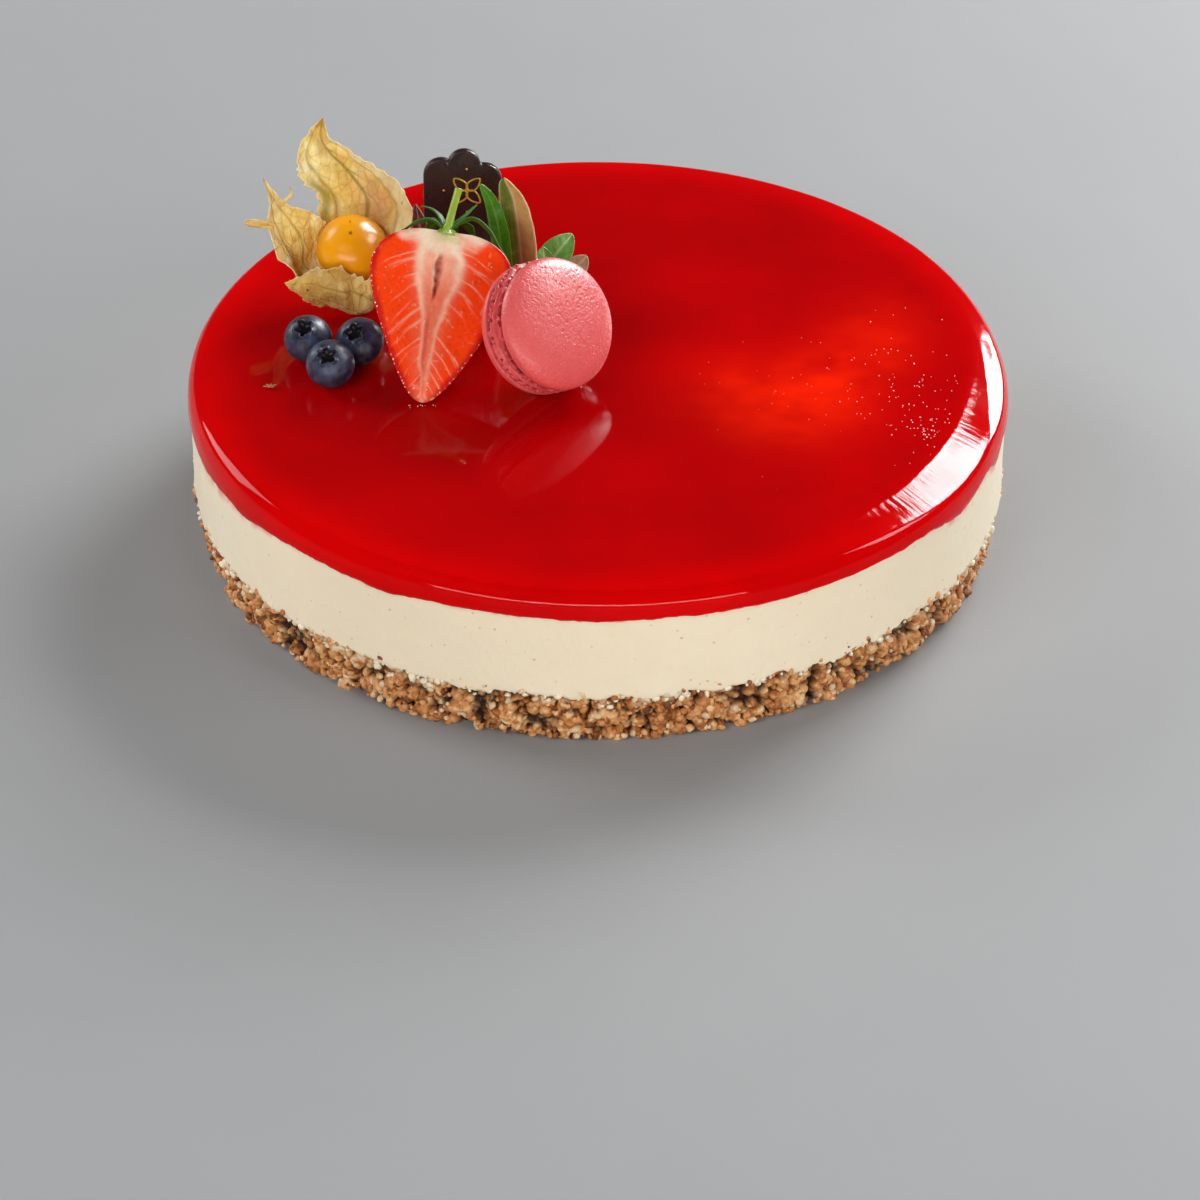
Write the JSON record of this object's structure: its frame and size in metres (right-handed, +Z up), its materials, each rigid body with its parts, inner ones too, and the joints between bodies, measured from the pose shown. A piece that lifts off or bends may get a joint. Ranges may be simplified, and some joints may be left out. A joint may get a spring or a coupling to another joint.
{
  "type": "glazed cheesecake",
  "caption": "Round cheesecake on a nut crumb base with a red mirror glaze, topped with a halved strawberry, berries, a physalis, a macaron and a chocolate plaque.",
  "frame": {"origin": "centre of the flat underside of the crumb base, on the surface that the cake stands on", "axes": "+Z up; -Y is the front, which the strawberry's cut face looks to; +X is to the right seen from the front"},
  "size_m": [0.225, 0.225, 0.0939],
  "materials": {
    "crumb": "rough nut and biscuit crumb",
    "cream": "smooth cream cheese with pinholes",
    "glaze": "mirror glaze",
    "blueberry": "waxy bloom",
    "physalis": "glossy skin",
    "husk": "dry and papery with veins",
    "berry": "wet cut flesh",
    "calyx": "fresh green",
    "macaron": "satin baked shell",
    "filling": "soft cream",
    "chocolate": "satin dark chocolate",
    "leaf_green": "fresh leaf",
    "leaf_brown": "leaf underside",
    "leaf_dark": "dark red petal"
  },
  "bodies": {
    "root": {"crumb_base": "crumb", "cream_layer": "cream", "glaze_top": "glaze", "blueberry_1": "blueberry", "blueberry_2": "blueberry", "blueberry_3": "blueberry", "physalis_berry": "physalis", "physalis_husk": "husk", "strawberry_half": "berry", "strawberry_calyx": "calyx", "macaron_shell_front": "macaron", "macaron_shell_back": "macaron", "macaron_filling": "filling", "chocolate_plaque": "chocolate", "leaf_tall": "leaf_green", "leaf_strap": "leaf_brown", "leaf_small": "leaf_green", "leaf_low": "leaf_green", "leaf_brown": "leaf_brown", "leaf_dark": "leaf_dark"}
  },
  "joints": []
}
